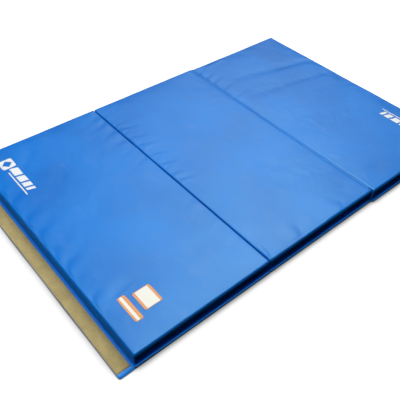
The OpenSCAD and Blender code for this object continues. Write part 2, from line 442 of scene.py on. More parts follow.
def top_sheet(panel, material, skirt_material):
    """A panel's landing face. Returns its surface, for the prints and labels to lie on."""
    low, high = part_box(f"top_sheet_{panel}")
    radii = edge_radii(panel)
    points, turn = shell_points(low, high, radii, TOP_Z, HEM_Z, CLOTH_STEP)
    cut = cut_fuller(points, panel, low, high)
    points[..., 2] += broad_relief(panel, points[..., 0], points[..., 1], low, high) * (1 - ease(turn))
    piece = grid_piece(f"cover_top_{panel}", points, material)
    settle_cloth(piece, turn, cut)
    add_fine_relief(piece, panel, low, high)
    surface = BVHTree.FromPolygons(get_points(piece).tolist(), [p.vertices for p in piece.data.polygons])
    mark_skirt(piece, low, high, radii, skirt_material)
    thicken(piece, VINYL_T)
    place(piece, f"{panel}_panel", [f"top_sheet_{panel}"])
    return surface


# ---- the side walls and the flange round the base


def flange_reach(panel):
    """How far a panel's flange stands out at its low x, its high x, and its low and high y sides."""
    wall_low, wall_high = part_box(f"top_sheet_{panel}")
    base_low, base_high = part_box(f"bottom_sheet_{panel}")
    least = 0.5 * MM
    at_low_x = max(wall_low.x - base_low.x, least)
    at_high_x = max(base_high.x - wall_high.x, least)
    return at_low_x, at_high_x, wall_low.y - base_low.y, base_high.y - wall_high.y


def flange_lift(x, y):
    """How far the flange's outer edge curls up off the floor."""
    return FLANGE_LIFT * (0.55 + 0.45 * np.sin(23 * x + 1.1 * np.sin(9 * x)) * np.cos(17 * y + 0.7))


def straight(start, end, outward, step):
    """Points along a straight stretch of wall, and the way each faces."""
    count = max(2, round(math.dist(start, end) / step) + 1)
    return np.linspace(start, end, count), np.tile(outward, (count, 1))


def corner(centre, radius, start_deg, end_deg):
    """Points round a corner of the wall, without its two ends, and the way each faces."""
    turn = np.radians(np.linspace(start_deg, end_deg, 8))[1:-1]
    outward = np.stack([np.cos(turn), np.sin(turn)], -1)
    return np.array(centre) + radius * outward, outward


def wall_path(low, high, gap_half, step=12 * MM):
    """Points round a panel, anticlockwise between its zip wall's ends, and the way each faces."""
    r = CORNER_R
    middle = (low.x + high.x) / 2
    runs = [
        straight((middle - gap_half, high.y), (low.x + r, high.y), (0, 1), step),
        corner((low.x + r, high.y - r), r, 90, 180),
        straight((low.x, high.y - r), (low.x, low.y + r), (-1, 0), step),
        corner((low.x + r, low.y + r), r, 180, 270),
        straight((low.x + r, low.y), (high.x - r, low.y), (0, -1), step),
        corner((high.x - r, low.y + r), r, 270, 360),
        straight((high.x, low.y + r), (high.x, high.y - r), (1, 0), step),
        corner((high.x - r, high.y - r), r, 0, 90),
        straight((high.x - r, high.y), (middle + gap_half, high.y), (0, 1), step),
    ]
    return np.concatenate([p for p, _ in runs]), np.concatenate([n for _, n in runs])


def reach_along(outward, reach):
    """How far the flange goes out from the wall in each outward direction: its own corners are square."""
    across = np.where(outward[:, 0] < 0, reach[0], reach[1])
    along = np.where(outward[:, 1] < 0, reach[2], reach[3])
    to_x = (CORNER_R + across) / np.maximum(abs(outward[:, 0]), 1e-6)
    to_y = (CORNER_R + along) / np.maximum(abs(outward[:, 1]), 1e-6)
    return np.minimum(to_x, to_y) - CORNER_R


def wall_offset(z, place_x, place_y):
    """How far a wall stands out from its straight line: it bulges between its seams and ripples a little."""
    height = np.clip((z - FLANGE_TOP) / (HEM_Z - FLANGE_TOP), 0, 1)
    belly = np.sin(math.pi * height) ** 0.8
    ripple = random_field(place_x + 0.3 * z, place_y + 0.3 * z, 0.11, 31)
    return belly * (0.3 + 0.45 * ripple) * MM - 0.5 * MM * (height > 0.98)


WALL_Z = np.array([44, 42.5, 41, 38, 34, 29, 24, 19, 14, 9, 6, 4.2]) * MM
# the foot where the wall turns into the flange: (share of the flange's reach, height over its top)
FOOT = ((0.03, 1.3 * MM), (0.1, 0.55 * MM), (0.22, 0.12 * MM), (0.38, 0.0))
# the flange's outer part, padded by the seam inside it, in shares of its reach and of the bead's height
BEAD = ((0.46, 0.1), (0.52, 0.45), (0.58, 0.8), (0.65, 0.97), (0.73, 1.0), (0.8, 0.93), (0.85, 0.75),
        (0.875, 0.45), (0.88, 0.0))
BEAD_H = 3.9 * MM


def band_points(path, outward, reach):
    """Points of the wall and the flange's upper ply, in rows along the path."""
    px, py = path[:, :1], path[:, 1:]
    wall_out = wall_offset(WALL_Z[None, :], px, py)
    wide = np.minimum(1, reach / (8 * MM))[:, None] ** 2
    shares = np.array([s for s, _ in FOOT + BEAD])
    heights = np.array([h for _, h in FOOT] + [0.0] * len(BEAD))
    bead = np.array([0.0] * len(FOOT) + [h for _, h in BEAD])
    swell = 1 + 0.25 * np.sin(31 * px + 19 * py) * np.cos(12 * px - 23 * py)
    # on the zip side the bead is low, clear of the pull tabs
    swell = np.where(outward[:, 1:] > 0.5, 0.5 * swell, swell)
    lift = flange_lift(px, py) * shares**2
    foot_z = FLANGE_TOP + heights + wide * (lift + bead * BEAD_H * swell)
    out = np.concatenate([wall_out, reach[:, None] * shares], 1)
    z = np.concatenate([np.tile(WALL_Z, (len(path), 1)), foot_z], 1)
    return np.stack([px + outward[:, :1] * out, py + outward[:, 1:] * out, z], -1)


def boxing(panel, material, lit_bead_material):
    """The wall strip round three sides and two corners of the fourth, with its foot on the flange."""
    low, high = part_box(f"top_sheet_{panel}")
    zip_low, zip_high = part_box(f"zip_wall_{panel}")
    path, outward = wall_path(low, high, (zip_high.x - zip_low.x) / 2)
    points = band_points(path, outward, reach_along(outward, flange_reach(panel)))
    piece = grid_piece(f"side_walls_{panel}", points, material, flip=True)
    # the flange's bead takes a lighter copy of the wall vinyl: painted light where its outer edge catches the
    # light
    piece.data.materials.append(lit_bead_material)
    per_row = points.shape[1] - 1
    for index, face in enumerate(piece.data.polygons):
        face.material_index = int(index % per_row >= len(WALL_Z) + len(FOOT))
    thicken(piece, PLY_T)
    place(piece, f"{panel}_panel", [f"boxing_{panel}"])


def zip_wall(panel, material):
    """The far wall, in two strips of vinyl turned in along the zip, joined past its ends."""
    low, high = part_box(f"zip_wall_{panel}")
    face_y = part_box(f"top_sheet_{panel}")[1].y
    slot_low, slot_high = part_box(f"zip_chain_{panel}")
    slot = (slot_high.z + 0.5 * MM, slot_low.z - 0.5 * MM)
    ends = (slot_low.x - 1 * MM, slot_high.x + 1 * MM)
    xs = spaced(low.x, high.x, 12 * MM, *ends)[::-1]
    path = np.stack([xs, np.full(len(xs), face_y)], -1)
    outward = np.tile((0.0, 1.0), (len(xs), 1))
    points = band_points(path, outward, np.full(len(xs), high.y - face_y))
    heights = points[0, : len(WALL_Z), 2]
    cut_rows = [int(np.argmin(abs(heights - z))) for z in slot]
    inside = (xs > ends[0] - 1e-6) & (xs < ends[1] + 1e-6)
    for row, z in zip(cut_rows, slot):
        points[:, row, 2] = z
        points[inside, row, 1] = face_y - 0.3 * MM
    rows, cols = points.shape[:2]
    faces = grid_faces(rows, cols, flip=True).reshape(rows - 1, cols - 1, 4)
    keep = np.ones(faces.shape[:2], bool)
    keep[np.ix_(inside[:-1] & inside[1:], range(*cut_rows))] = False
    piece = new_piece(f"zip_wall_cover_{panel}", points.reshape(-1, 3), faces[keep], material)
    thicken(piece, PLY_T)
    place(piece, f"{panel}_panel", [f"zip_wall_{panel}"])


def bottom_sheet(panel, material):
    """The base, flat on the floor, with its edge curling up under the flange."""
    low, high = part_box(f"bottom_sheet_{panel}")
    wall_low, wall_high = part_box(f"top_sheet_{panel}")
    strip_low, strip_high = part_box("loop_strip")
    has_strip = panel == "right"
    soft = 1 * MM
    pocket_x = (strip_low.x - soft, strip_low.x, strip_high.x, strip_high.x + soft) if has_strip else ()
    pocket_y = (strip_low.y - soft, strip_low.y, strip_high.y, strip_high.y + soft) if has_strip else ()
    rim_y = (wall_low.y, wall_low.y - 4 * MM, wall_high.y, wall_high.y + 4 * MM)
    xs = spaced(low.x, high.x, 15 * MM, wall_low.x, wall_high.x, *pocket_x)
    ys = spaced(low.y, high.y, 30 * MM, *rim_y, *pocket_y)

    def rise(x, y):
        past_y = np.maximum(wall_low.y - y, y - wall_high.y)
        past_x = np.maximum(wall_low.x - x, x - wall_high.x)
        share = np.clip(np.maximum(past_x, past_y) / (high.y - wall_high.y), 0, 1)
        pocket = 0
        if has_strip:
            in_x = np.minimum(x - strip_low.x, strip_high.x - x)
            in_y = np.minimum(y - strip_low.y, strip_high.y - y)
            pocket = (strip_high.z + 0.05 * MM) * np.clip(1 + np.minimum(in_x, in_y) / soft, 0, 1)
        return 0.05 * MM + flange_lift(x, y) * share**2 + pocket

    piece = slab(f"base_{panel}", xs, ys, lambda x, y: 0.8 * MM + rise(x, y), rise, material)
    place(piece, f"{panel}_panel", [f"bottom_sheet_{panel}"])


# ---- foam


def foam_core(kind, panel, low_z, high_z, radius, material):
    """A foam slab with soft edges, a little smaller than the cover."""
    node = f"{kind}_foam_{panel}"
    low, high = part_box(node)
    middle = (low_z + high_z) / 2
    upper, turn = shell_points(low, high, (radius,) * 4, high_z, middle, 30 * MM)
    lower = upper.copy()
    x, y = upper[..., 0], upper[..., 1]
    flatness = 1 - ease(turn)
    upper[..., 2] += 0.2 * MM * random_field(x, y, 0.12, 51) * flatness - 0.2 * MM
    lower[..., 2] = 2 * middle - lower[..., 2] + 0.2 * MM * (random_field(x, y, 0.15, 52) + 1) * flatness
    piece = two_sided(f"{kind}_core_{panel}", upper, lower, material)
    mesh = bmesh.new()
    mesh.from_mesh(piece.data)
    bmesh.ops.remove_doubles(mesh, verts=mesh.verts, dist=0.01 * MM)
    mesh.to_mesh(piece.data)
    mesh.free()
    place(piece, f"{panel}_panel", [node])


# ---- hinges, flap and strips


def across_fold(seam, reach):
    """Grid lines across a fold, close together where it bends."""
    bend = np.linspace(seam - 1.3 * SEAM_HALF, seam + 1.3 * SEAM_HALF, 15)
    outer = np.linspace(3.5 * MM, reach, 8)
    return np.concatenate([seam - outer[::-1], bend, seam + outer])


def hinge_strip(name, nodes, seam, level, crest, material):
    """A strip of vinyl under two panels' edges; at the gap between them it rises by crest, with a crease.

    Its size comes from the first of the nodes; it is put on neither body.
    """
    low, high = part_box(nodes[0])
    reach = max(abs(low.x - seam), abs(high.x - seam))
    ys = spaced(low.y, high.y, 20 * MM)

    def top(x, y):
        away = abs(x - seam)
        rise = crest * (ease((7 * MM - away) / (4 * MM)) - 0.35 * np.exp(-((away / (1.2 * MM)) ** 2)))
        return level + 0.4 * MM + rise

    piece = slab(name, across_fold(seam, reach), ys, top, lambda x, y: top(x, y) - 0.8 * MM, material)
    finish_piece(nodes)
    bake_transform(piece)


def end_flap(material):
    """The flap, thin where it comes out between the flange's plies. Returns how its outer edge curls up."""
    low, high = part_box("end_flap")
    foot_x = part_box("bottom_sheet_left")[0].x
    half = high.y
    corner_r = 6 * MM
    outer = low.x + corner_r * (1 - np.cos(np.radians((0, 25, 45, 65, 90))))
    root = np.linspace(high.x - 1 * MM, foot_x + 2 * MM, 12)
    xs = np.concatenate([outer, spaced(low.x + 10 * MM, high.x - 4 * MM, 9 * MM), root])
    ys = spaced(-half, half, 18 * MM)

    def rounded(x, y):
        into = np.clip(low.x + corner_r - x, 0, corner_r)
        most = half - corner_r + np.sqrt(corner_r**2 - into**2)
        return x, y * most / half

    def thin(x):
        return ease((high.x + 1.2 * MM - x) / (1.8 * MM))

    def curl(x, y):
        out = np.clip((high.x - x) / (high.x - low.x), 0, 1)
        return 1.1 * MM * out**2 * (0.5 + 0.5 * np.sin(11 * y + 2 * np.sin(3.1 * y)))

    def top(x, y):
        return (1.18 + 0.72 * thin(x)) * MM + curl(x, y)

    def bottom(x, y):
        return (0.88 - 0.8 * thin(x)) * MM + curl(x, y)

    piece = slab("flap", xs, ys, top, bottom, material, rounded)
    finish_piece(["end_flap"])
    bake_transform(piece)
    return curl


def grip_strip(name, node, body, lift, material, selvedge_material):
    """A hook or loop strip: a thick field between two thin woven edges.

    It faces up and follows the lift that it is given, or faces down if there is none.
    """
    low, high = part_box(node)
    if lift:
        low.x -= 1.5 * MM
    edge = 3.2 * MM
    field = (low.x + edge, high.x - edge)
    xs = np.array([low.x, low.x + 1.2 * MM, field[0] - 0.4 * MM, *spaced(*field, 6 * MM),
                   field[1] + 0.4 * MM, high.x - 1.2 * MM, high.x])
    ys = spaced(low.y, high.y, 9 * MM)

    def depth(x, y):
        inside = ease(np.minimum(x - field[0] + 0.4 * MM, field[1] + 0.4 * MM - x) / (0.8 * MM))
        fuzz = 0.1 * MM * random_field(x, y, 0.014, 61)
        return (high.z - low.z) * (0.52 + 0.4 * inside) + fuzz * inside

    def top(x, y):
        return low.z + depth(x, y) + lift(x, y) if lift else high.z

    def bottom(x, y):
        return low.z + lift(x, y) if lift else high.z - depth(x, y)

    piece = slab(name, xs, ys, top, bottom, material)
    piece.data.materials.append(selvedge_material)
    for face in piece.data.polygons:
        face.material_index = int(not field[0] < face.center.x < field[1])
    place(piece, body, [node])


# ---- zips


def soften(mesh, verts, width):
    """Bevels the edges at some vertices of a bmesh."""
    edges = {e for v in verts for e in v.link_edges}
    bmesh.ops.bevel(mesh, geom=list(edges), offset=width, segments=2, affect="EDGES", profile=0.7)


def box_mesh(mesh, low, high, bevel):
    """Adds a box with softened edges to a bmesh."""
    size = Vector(high) - Vector(low)
    middle = (Vector(high) + Vector(low)) / 2
    matrix = Matrix.Translation(middle) @ Matrix.Diagonal((*size, 1))
    soften(mesh, bmesh.ops.create_cube(mesh, size=1, matrix=matrix)["verts"], bevel)


def zip_chain(panel, material):
    """Two rows of moulded teeth that mesh, with a stop at each end."""
    low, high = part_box(f"zip_chain_{panel}")
    middle_z = (low.z + high.z) / 2
    half = (high.z - low.z) / 2
    face_y = high.y - 2.0 * MM
    pitch = stop = 3 * MM
    mesh = bmesh.new()
    for k in range(int((high.x - low.x - 2 * stop) / pitch)):
        for side, shift in ((1, 0.5), (-1, 1.0)):
            x = low.x + stop + (k + shift) * pitch
            head, root = sorted((middle_z - side * 0.9 * MM, middle_z + side * half))
            box_mesh(mesh, (x - 0.75 * MM, face_y - 0.3 * MM, head), (x + 0.75 * MM, face_y + 0.8 * MM, root),
                     0.25 * MM)
    for x in (low.x + stop / 2, high.x - stop / 2):
        reach = stop / 2 - 0.1 * MM
        box_mesh(mesh, (x - reach, face_y, low.z), (x + reach, high.y, high.z), 0.6 * MM)
    piece = from_bmesh(f"zip_teeth_{panel}", mesh, material)
    place(piece, f"{panel}_panel", [f"zip_chain_{panel}"])


def zip_tape(panel, material):
    """The zip's woven tape, with a corded edge on each side of the teeth."""
    low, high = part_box(f"zip_tape_{panel}")
    half_lines = np.array([0.5, 1.6, 2.6, 3.6, 5, 9, 15]) * MM
    away = np.concatenate([-half_lines[::-1], half_lines])
    cord = 0.35 * MM * np.exp(-(((abs(away) - 2.6 * MM) / (0.8 * MM)) ** 2))
    x, z = np.meshgrid(spaced(low.x, high.x, 12 * MM), (low.z + high.z) / 2 + away, indexing="ij")
    points = np.stack([x, np.broadcast_to(low.y + 0.3 * MM + cord, x.shape), z], -1)
    piece = grid_piece(f"zip_tape_cloth_{panel}", points, material, flip=True)
    thicken(piece, 0.4 * MM)
    place(piece, f"{panel}_panel", [f"zip_tape_{panel}"])


def extruded(mesh, outline, low_y, high_y, bevel):
    """Adds a plate to a bmesh: an outline in (x, z), from low_y to high_y, with softened edges."""
    verts = [mesh.verts.new((x, low_y, z)) for x, z in outline]
    made = bmesh.ops.extrude_face_region(mesh, geom=[mesh.faces.new(verts)])
    top = [v for v in made["geom"] if isinstance(v, bmesh.types.BMVert)]
    bmesh.ops.translate(mesh, verts=top, vec=(0, high_y - low_y, 0))
    soften(mesh, [*verts, *top], bevel)
    bmesh.ops.recalc_face_normals(mesh, faces=mesh.faces)


def ring_outline(half_x, half_z, corner_r, steps=6):
    """A rounded rectangle's outline round the origin."""
    points = []
    for sx, sz, start in ((1, 1, 0), (-1, 1, 90), (-1, -1, 180), (1, -1, 270)):
        for turn in np.radians(np.linspace(start, start + 90, steps)):
            points.append((sx * (half_x - corner_r) + corner_r * math.cos(turn),
                           sz * (half_z - corner_r) + corner_r * math.sin(turn)))
    return points


def zip_slider(panel, material):
    """Slider body with a tapered face plate, two side flanges over the teeth, and a bridge for the pull."""
    low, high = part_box(f"zip_slider_{panel}")
    pull_low, pull_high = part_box(f"zip_pull_{panel}")
    x, z = (low.x + high.x) / 2, (low.z + high.z) / 2
    half_l, half_h = (high.x - low.x) / 2, (high.z - low.z) / 2
    plate_y = high.y - 4.3 * MM
    mesh = bmesh.new()
    edge = [(x + a * half_l, b * half_h) for a, b in ((-1, 0.62), (-0.3, 1), (0.6, 1), (1, 0.85))]
    outline = [(a, z - b) for a, b in edge] + [(a, z + b) for a, b in edge[::-1]]
    extruded(mesh, outline, low.y + 0.8 * MM, plate_y, 0.5 * MM)
    for side in (-1, 1):
        rim = sorted((z + side * half_h * 0.99, z + side * (half_h - 1.1 * MM)))
        box_mesh(mesh, (x - 0.4 * half_l, low.y, rim[0]), (x + 0.75 * half_l, plate_y - 0.3 * MM, rim[1]),
                 0.3 * MM)
    ear_x = (pull_high.x - pull_low.x) / 2 + 0.4 * MM
    for side in (-1, 1):
        ear = sorted((x + side * ear_x, x + side * (ear_x + 1.4 * MM)))
        box_mesh(mesh, (ear[0], plate_y - 0.4 * MM, z - 1.9 * MM), (ear[1], high.y, z + 1.9 * MM), 0.5 * MM)
    pin = Matrix.Translation((x, (pull_low.y + pull_high.y) / 2, z)) @ Matrix.Rotation(math.pi / 2, 4, "Y")
    bmesh.ops.create_cone(mesh, cap_ends=True, segments=20, radius1=0.8 * MM, radius2=0.8 * MM,
                          depth=2 * ear_x + MM, matrix=pin)
    piece = from_bmesh(f"slider_{panel}", mesh, material)
    place(piece, f"slider_{panel}", [f"zip_slider_{panel}"])


def zip_pull(panel, material):
    """Pull tab: an eye on the slider's pin, a waist, and a grip with ribs."""
    low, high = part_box(f"zip_pull_{panel}")
    x, y = (low.x + high.x) / 2, (low.y + high.y) / 2
    half = (high.x - low.x) / 2
    eye_z = high.z - (high.y - low.y) / 2
    eye_r, pin_r = (high.y - low.y) / 2, 0.95 * MM
    mesh = bmesh.new()
    section = ((-half, pin_r), (-half, eye_r - 0.3 * MM), (-half + 0.3 * MM, eye_r), (half - 0.3 * MM, eye_r),
               (half, eye_r - 0.3 * MM), (half, pin_r))
    rings = [[mesh.verts.new((x + a, y + r * math.cos(t), eye_z + r * math.sin(t))) for a, r in section]
             for t in np.linspace(0, 2 * math.pi, 28, endpoint=False)]
    for ring, after in zip(rings, rings[1:] + rings[:1]):
        for k in range(len(section)):
            n = (k + 1) % len(section)
            mesh.faces.new((ring[k], ring[n], after[n], after[k]))
    bmesh.ops.recalc_face_normals(mesh, faces=mesh.faces)
    waist = 0.62 * half
    grip_top = eye_z - 8 * MM
    edge = ((waist, eye_z - eye_r + 0.5 * MM), (waist, grip_top + MM), (half, grip_top - MM),
            (half, low.z + 1.2 * MM), (0.6 * half, low.z))
    outline = [(x - a, z) for a, z in edge] + [(x + a, z) for a, z in edge[::-1]]
    thick = 0.6 * MM
    extruded(mesh, outline, y - thick, y + thick, 0.25 * MM)
    rib = thick + 0.15 * MM
    for k in range(5):
        z = low.z + (3 + 2 * k) * MM
        box_mesh(mesh, (x - 0.75 * half, y - rib, z - 0.4 * MM), (x + 0.75 * half, y + rib, z + 0.4 * MM),
                 0.12 * MM)
    piece = from_bmesh(f"pull_tab_{panel}", mesh, material)
    place(piece, f"pull_{panel}", [f"zip_pull_{panel}"])


# ---- prints and labels


def cut_across(mesh, axis, places):
    """Cuts a flat bmesh along lines across an axis: 0 for x, 1 for y."""
    normal = Vector((axis == 0, axis == 1, 0))
    for place_at in places:
        geometry = [*mesh.verts, *mesh.edges, *mesh.faces]
        bmesh.ops.bisect_plane(mesh, geom=geometry, plane_co=normal * place_at, plane_no=normal)


def drape(mesh, surface, lift, step=7 * MM):
    """Cuts a flat bmesh along a fine grid and lays it on a surface, face up."""
    extents = [[v.co[axis] for v in mesh.verts] for axis in (0, 1)]
    for axis, values in enumerate(extents):
        cut_across(mesh, axis, np.arange(min(values) + step, max(values), step))
    for vert in mesh.verts:
        hit = surface.ray_cast(Vector((vert.co.x, vert.co.y, 1)), Vector((0, 0, -1)))
        vert.co.z = hit[0].z + lift
    mesh.normal_update()
    for face in mesh.faces:
        if face.normal.z < 0:
            face.normal_flip()


def flat_face(mesh, corners):
    return mesh.faces.new([mesh.verts.new((*c, 0)) for c in corners])


def flat_ring(mesh, centre, outer, inner, steps=72):
    """A flat ring between two outlines, each given as a radius by direction."""
    x, y = centre
    turns = np.linspace(0, 2 * math.pi, steps, endpoint=False)
    rings = []
    for radius in (outer, inner):
        points = [(x + radius(t) * math.cos(t), y + radius(t) * math.sin(t), 0) for t in turns]
        rings.append([mesh.verts.new(p) for p in points])
    for k in range(steps):
        n = (k + 1) % steps
        mesh.faces.new((rings[0][k], rings[0][n], rings[1][n], rings[1][k]))


def soft_square(half, power):
    """Radius by direction of a square whose corners are rounder for a lower power; 1 is a diamond."""
    return lambda turn: half / (abs(math.cos(turn)) ** power + abs(math.sin(turn)) ** power) ** (1 / power)


def print_mark(name, node, panel, surface, material, flip):
    """A square emblem with a diamond window, a row of slanted blocks and an underline."""
    low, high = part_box(node)
    emblem = 62 * MM
    block_w, gap, slant = 36 * MM, 10 * MM, 9 * MM
    line_w, line_l = 6 * MM, 168 * MM
    side = -1 if flip else 1
    inner_x = high.x if flip else low.x
    outer_y = low.y if flip else high.y

    def at(u, v):
        """A place u from the print's wall side and v from its far end."""
        return inner_x + side * u, outer_y - side * v

    mesh = bmesh.new()
    window = soft_square(emblem / 4 * math.sqrt(2), 1)
    flat_ring(mesh, at(22 * MM, emblem / 2), soft_square(emblem / 2, 7), window)
    v = emblem + 5 * MM
    near, far = 14 * MM, 14 * MM + block_w
    for length in (52 * MM, 40 * MM, 28 * MM, 16 * MM):
        flat_face(mesh, (at(near, v), at(far, v + slant), at(far, v + slant + length), at(near, v + length)))
        v += length + gap
    v = emblem + 25 * MM
    flat_face(mesh, (at(0, v), at(line_w, v), at(line_w, v + line_l), at(0, v + line_l)))
    drape(mesh, surface, 0.12 * MM)
    piece = from_bmesh(name, mesh, material)
    thicken(piece, 0.15 * MM)
    place(piece, f"{panel}_panel", [node])


def label_patch(name, node, surface, materials, bands):
    """A blank label: a white patch with a printed border and printed bands, given in shares of its width."""
    low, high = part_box(node)
    middle = (low + high) / 2
    half = (high - low) / 2
    border = 2.6 * MM
    mesh = bmesh.new()
    flat_face(mesh, [(middle.x + a, middle.y + b) for a, b in ring_outline(half.x, half.y, 7 * MM)])
    shares = [share for band in bands for share in band]
    cut_across(mesh, 0, [low.x + border, high.x - border, *[low.x + s * (high.x - low.x) for s in shares]])
    cut_across(mesh, 1, (low.y + border, high.y - border))
    drape(mesh, surface, 0.2 * MM)
    for face in mesh.faces:
        centre = face.calc_center_median()
        share = (centre.x - low.x) / (high.x - low.x)
        rim = min(centre.x - low.x, high.x - centre.x, centre.y - low.y, high.y - centre.y) < border
        face.material_index = int(rim or any(a < share < b for a, b in bands))
    piece = from_bmesh(name, mesh, materials[0])
    piece.data.materials.append(materials[1])
    thicken(piece, 0.25 * MM)
    place(piece, "left_panel", [node])


# ---- stitching


def stitch_row(name, body, line, material, pitch=5.5 * MM, length=4 * MM, radius=0.35 * MM):
    """A row of stitches along a line of points: short threads that dip at both ends."""
    run = np.concatenate([[0], np.cumsum(np.linalg.norm(np.diff(line, axis=0), axis=1))])
    # a stitch's rings of points: (share of its length, share of its radius, rise in radii)
    shape = ((-0.5, 0.25, -0.9), (-0.36, 0.85, 0.0), (0.0, 1.0, 0.35), (0.36, 0.85, 0.0), (0.5, 0.25, -0.9))
    sides = 5

    def on_line(reached):
        return np.array([np.interp(reached, run, line[:, axis]) for axis in range(3)])

    points, faces = [], []
    for k in range(int(run[-1] / pitch)):
        middle = (k + 0.5) * pitch
        along = on_line(middle + MM) - on_line(middle - MM)
        along /= np.linalg.norm(along)
        across = np.cross((0, 0, 1), along)
        across /= np.linalg.norm(across)
        up = np.cross(along, across)
        first = len(points)
        for share, size, rise in shape:
            for turn in 2 * math.pi * np.arange(sides) / sides:
                off = across * size * math.cos(turn) + up * (size * math.sin(turn) + rise)
                points.append(on_line(middle) + along * share * length + radius * off)
        for ring in range(len(shape) - 1):
            for s in range(sides):
                a, b = first + ring * sides + s, first + ring * sides + (s + 1) % sides
                faces.append((a, b, b + sides, a + sides))
        faces.append(range(first + sides - 1, first - 1, -1))
        faces.append(range(len(points) - sides, len(points)))
    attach(new_piece(name, points, faces, material), body)


def flange_stitches(panel, material):
    """Stitching through both plies of a panel's flange, on each side that has one."""
    low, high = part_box(f"top_sheet_{panel}")
    reach = flange_reach(panel)
    share = 0.42

    def row(name, xs, ys):
        xs, ys = np.broadcast_arrays(xs, ys)
        line = np.stack([xs, ys, FLANGE_TOP + 0.1 * MM + flange_lift(xs, ys) * share**2], -1)
        stitch_row(f"flange_thread_{name}_{panel}", f"{panel}_panel", line, material)

    xs = np.linspace(low.x + 6 * MM, high.x - 6 * MM, 90)
    row("near", xs, low.y - share * reach[2])
    row("far", xs, high.y + share * reach[3])
    if panel == "right":
        row("end", high.x + share * reach[1], np.linspace(low.y, high.y, 120))


def strip_stitches(node, body, level, lift, material):
    """Two rows of stitching along a strip's woven edges."""
    low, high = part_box(node)
    ys = np.linspace(low.y + 3 * MM, high.y - 3 * MM, 160)
    for name, x in (("outer", low.x + 2.1 * MM), ("inner", high.x - 2.1 * MM)):
        xs = np.full_like(ys, x)
        stitch_row(f"{node}_thread_{name}", body, np.stack([xs, ys, level + lift(xs, ys)], -1), material)


# ---- materials


class Nodes:
    """The node tree of a material or world, with short ways to add nodes to it."""

    def __init__(self, owner):
        owner.use_nodes = True
        self.tree = owner.node_tree

    def feed(self, socket, value):
        """Gives an input a value, or another node's output."""
        if isinstance(value, bpy.types.NodeSocket):
            self.tree.links.new(value, socket)
        else:
            socket.default_value = value

    def new(self, kind, **inputs):
        node = self.tree.nodes.new(f"ShaderNode{kind}")
        for name, value in inputs.items():
            self.feed(node.inputs[name.replace("_", " ")], value)
        return node

    def math(self, operation, a, b):
        node = self.new("Math")
        node.operation = operation
        self.feed(node.inputs[0], a)
        self.feed(node.inputs[1], b)
        return node.outputs[0]

    def plus(self, a, b):
        return self.math("ADD", a, b)

    def times(self, a, b):
        return self.math("MULTIPLY", a, b)

    def rescale(self, value, low, high, new_low, new_high):
        """Maps low to high onto new_low to new_high, and stays within them."""
        node = self.new("MapRange", Value=value, From_Min=low, From_Max=high, To_Min=new_low, To_Max=new_high)
        return node.outputs["Result"]

    def mix(self, factor, first, second):
        """A mix of two colours."""
        node = self.new("Mix")
        node.data_type = "RGBA"
        self.feed(node.inputs["Factor"], factor)
        sockets = [s for s in node.inputs if s.type == "RGBA"]
        for socket, colour in zip(sockets, (first, second)):
            self.feed(socket, (*colour, 1) if isinstance(colour, tuple) else colour)
        return [s for s in node.outputs if s.type == "RGBA"][0]


class Surface(Nodes):
    """A Principled material. What is the same all over it is set on the shader's own sockets."""

    def __init__(self, name, roughness, **constants):
        self.material = bpy.data.materials.new(name)
        super().__init__(self.material)
        self.shader = self.tree.nodes["Principled BSDF"]
        self.where = self.new("TexCoord").outputs["Object"]
        self.set(Roughness=roughness, **constants)

    def set(self, **inputs):
        for name, value in inputs.items():
            self.feed(self.shader.inputs[name.replace("_", " ")], value)

    def noise(self, size, detail=2.0, rough=0.5, stretch=(1, 1, 1)):
        """Noise with features about size metres across."""
        place_at = self.new("Mapping", Vector=self.where, Scale=[s / size for s in stretch]).outputs["Vector"]
        return self.new("TexNoise", Vector=place_at, Scale=1.0, Detail=detail, Roughness=rough).outputs["Fac"]

    def threads(self, pitch, axis):
        """Bands a pitch apart along an axis, as a woven cloth's threads."""
        scale = math.pi / (10 * pitch)
        bands = self.new("TexWave", Vector=self.where, Scale=scale, Distortion=0.4, Detail=1.0)
        bands.bands_direction = axis
        return bands.outputs["Fac"]

    def cells(self, size, randomness=1.0):
        """Distance from the nearest of many points that are about size metres apart."""
        cells = self.new("TexVoronoi", Vector=self.where, Scale=1 / size, Randomness=randomness)
        return cells.outputs["Distance"]

    def shades(self, tone, low, high, deep, pale):
        """From the deep colour where the tone is low to the pale one where it is high."""
        return self.mix(self.rescale(tone, low, high, 0, 1), deep, pale)

    def bump(self, height, depth):
        """Bumps the surface: the height, from 0 to 1, stands for depth metres."""
        self.set(Normal=self.new("Bump", Strength=1.0, Distance=depth, Height=height).outputs["Normal"])


def vinyl(name, pale, deep, gloss_low, gloss_high, specular=0.5):
    """Coated vinyl: rumples, a fine grain over the scrim's weave, uneven gloss, faint scuffs and tones."""
    made = Surface(name, gloss_high, Specular_IOR_Level=specular, Specular_Tint=(0.6, 1.0, 0.86, 1))
    colour = made.shades(made.noise(0.28, detail=3), 0.35, 0.65, deep, pale)
    scuffs = made.noise(0.05, detail=4, rough=0.6, stretch=(1, 0.4, 1))
    scuffed = tuple(0.6 * c + 0.25 for c in pale)
    made.set(Base_Color=made.mix(made.rescale(scuffs, 0.55, 0.75, 0, 0.06), colour, scuffed))
    patches = made.noise(0.07, detail=4, rough=0.6)
    made.set(Roughness=made.rescale(patches, 0.3, 0.7, gloss_low, gloss_high))
    weave = made.plus(made.threads(1.7 * MM, "X"), made.threads(1.7 * MM, "Y"))
    grain = made.plus(made.times(weave, 0.03), made.times(made.noise(1.2 * MM, detail=2), 0.06))
    made.bump(made.plus(made.noise(24 * MM, detail=1, rough=0.4), grain), 0.17 * MM)
    return made.material


